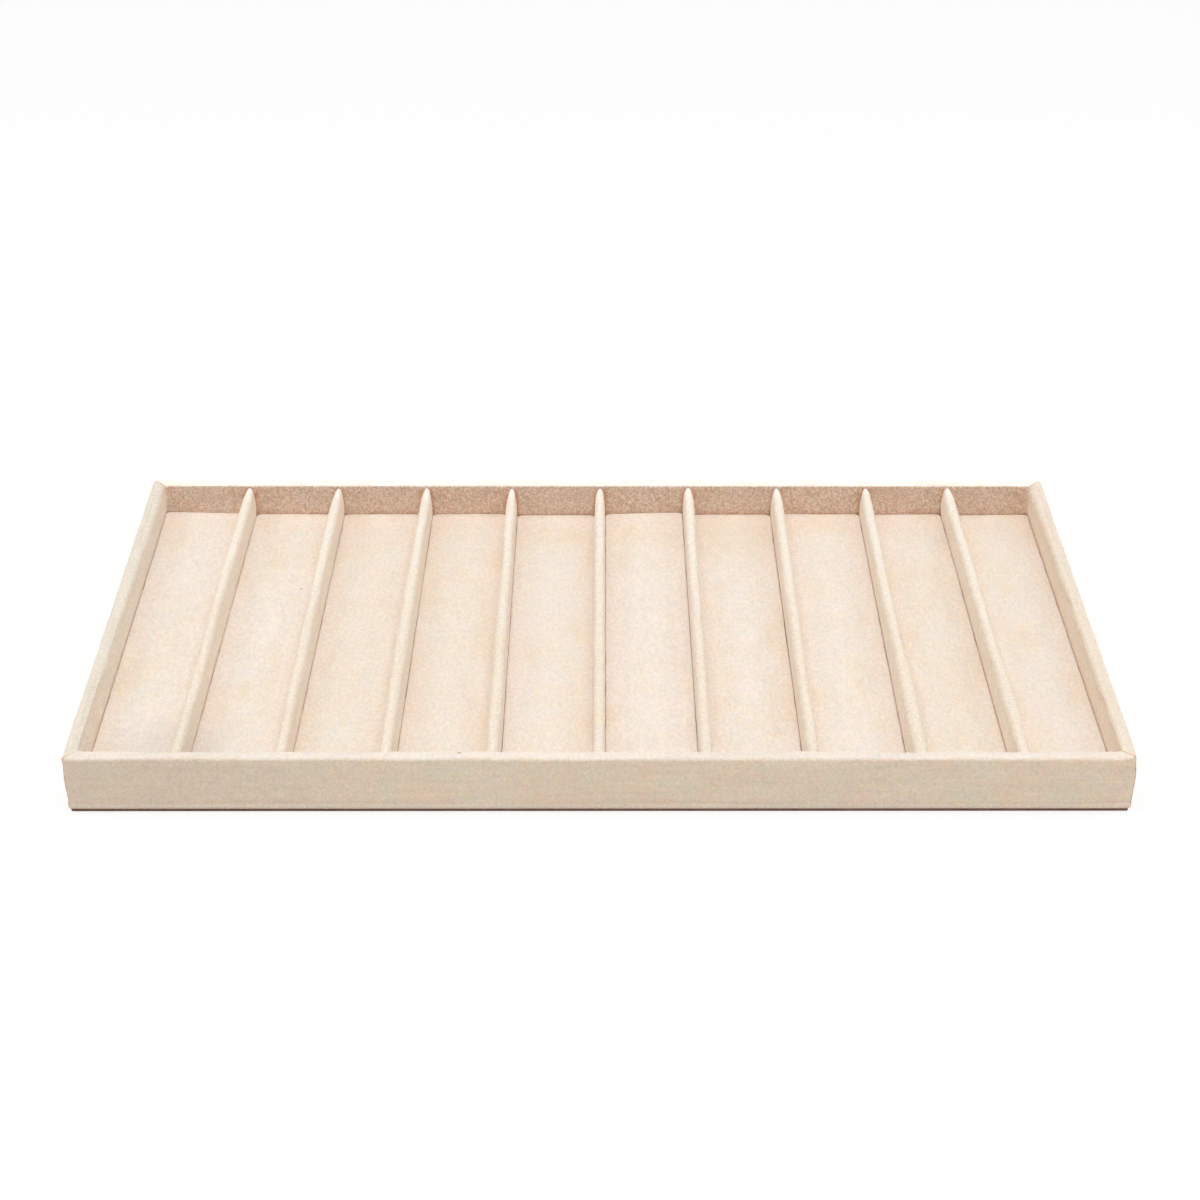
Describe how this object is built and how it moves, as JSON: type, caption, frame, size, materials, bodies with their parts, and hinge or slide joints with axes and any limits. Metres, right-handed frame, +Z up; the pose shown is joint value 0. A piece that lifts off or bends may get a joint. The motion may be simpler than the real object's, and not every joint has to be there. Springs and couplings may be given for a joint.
{
  "type": "necklace organizer insert",
  "caption": "Shallow rectangular fabric-covered tray insert, split by upright dividers into long parallel channels that each hold a necklace laid out straight.",
  "frame": {"origin": "under the middle of the tray, on the surface it stands on", "axes": "+X along the tray's long side to the right, +Y from the front wall to the back wall along the channels, +Z up"},
  "size_m": [0.375, 0.21, 0.023],
  "materials": {
    "wall_microsuede": "cream microsuede with a short brushed nap",
    "floor_microsuede": "cream microsuede with a short brushed nap, slightly pinker",
    "fibreboard": "raw medium-density fibreboard, sawn edges",
    "greyboard": "plain grey pressed board",
    "bottom_felt": "dark brown pressed felt, 1.2 mm thick"
  },
  "bodies": {
    "root": {"bottom_cover": "bottom_felt", "base_board": "fibreboard", "front_wall_board": "fibreboard", "right_wall_board": "fibreboard", "back_wall_board": "fibreboard", "left_wall_board": "fibreboard", "front_wall_wrap": "wall_microsuede", "right_wall_wrap": "wall_microsuede", "back_wall_wrap": "wall_microsuede", "left_wall_wrap": "wall_microsuede", "divider_board_1": "greyboard", "divider_board_2": "greyboard", "divider_board_3": "greyboard", "divider_board_4": "greyboard", "divider_board_5": "greyboard", "divider_board_6": "greyboard", "divider_board_7": "greyboard", "divider_board_8": "greyboard", "divider_board_9": "greyboard", "divider_cover_1": "wall_microsuede", "divider_cover_2": "wall_microsuede", "divider_cover_3": "wall_microsuede", "divider_cover_4": "wall_microsuede", "divider_cover_5": "wall_microsuede", "divider_cover_6": "wall_microsuede", "divider_cover_7": "wall_microsuede", "divider_cover_8": "wall_microsuede", "divider_cover_9": "wall_microsuede", "floor_card_01": "greyboard", "floor_card_02": "greyboard", "floor_card_03": "greyboard", "floor_card_04": "greyboard", "floor_card_05": "greyboard", "floor_card_06": "greyboard", "floor_card_07": "greyboard", "floor_card_08": "greyboard", "floor_card_09": "greyboard", "floor_card_10": "greyboard", "floor_lining_01": "floor_microsuede", "floor_lining_02": "floor_microsuede", "floor_lining_03": "floor_microsuede", "floor_lining_04": "floor_microsuede", "floor_lining_05": "floor_microsuede", "floor_lining_06": "floor_microsuede", "floor_lining_07": "floor_microsuede", "floor_lining_08": "floor_microsuede", "floor_lining_09": "floor_microsuede", "floor_lining_10": "floor_microsuede"}
  },
  "joints": []
}
